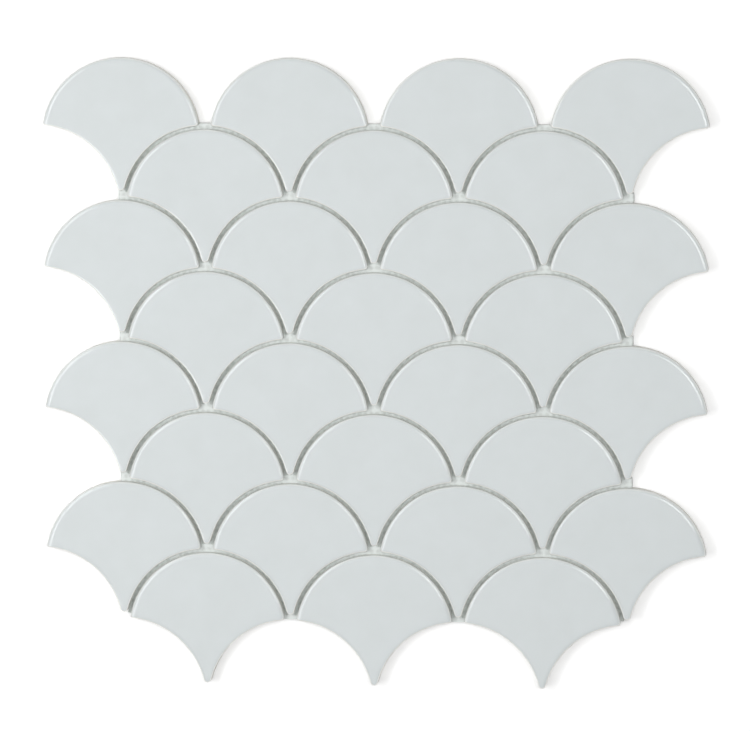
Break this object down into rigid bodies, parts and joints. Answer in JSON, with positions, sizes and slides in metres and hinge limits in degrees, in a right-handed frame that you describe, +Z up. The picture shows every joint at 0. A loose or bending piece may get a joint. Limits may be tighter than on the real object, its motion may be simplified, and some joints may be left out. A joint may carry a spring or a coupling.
{
  "type": "fish scale mosaic tile sheet",
  "caption": "Flat sheet of white glazed fish-scale mosaic tiles in staggered rows, glued by their backs to a fine net so that the whole sheet is bedded in adhesive at once",
  "frame": {"origin": "under the middle of the sheet's bounding box, on the underside of the net", "axes": "+X along the rows, +Y from the tails to the crowns of the scales, +Z up through the glazed face"},
  "size_m": [0.2736, 0.2596, 0.0064],
  "materials": {
    "glazed_tile": "glossy cool white glaze over a pale pressed body",
    "net": "white glass yarn, bonded open net"
  },
  "bodies": {
    "root": {"tile_r1_c1": "glazed_tile", "tile_r1_c2": "glazed_tile", "tile_r1_c3": "glazed_tile", "tile_r1_c4": "glazed_tile", "tile_r2_c1": "glazed_tile", "tile_r2_c2": "glazed_tile", "tile_r2_c3": "glazed_tile", "tile_r3_c1": "glazed_tile", "tile_r3_c2": "glazed_tile", "tile_r3_c3": "glazed_tile", "tile_r3_c4": "glazed_tile", "tile_r4_c1": "glazed_tile", "tile_r4_c2": "glazed_tile", "tile_r4_c3": "glazed_tile", "tile_r5_c1": "glazed_tile", "tile_r5_c2": "glazed_tile", "tile_r5_c3": "glazed_tile", "tile_r5_c4": "glazed_tile", "tile_r6_c1": "glazed_tile", "tile_r6_c2": "glazed_tile", "tile_r6_c3": "glazed_tile", "tile_r7_c1": "glazed_tile", "tile_r7_c2": "glazed_tile", "tile_r7_c3": "glazed_tile", "tile_r7_c4": "glazed_tile", "tile_r8_c1": "glazed_tile", "tile_r8_c2": "glazed_tile", "tile_r8_c3": "glazed_tile", "net_warp_yarns": "net", "net_weft_yarns": "net"}
  },
  "joints": []
}
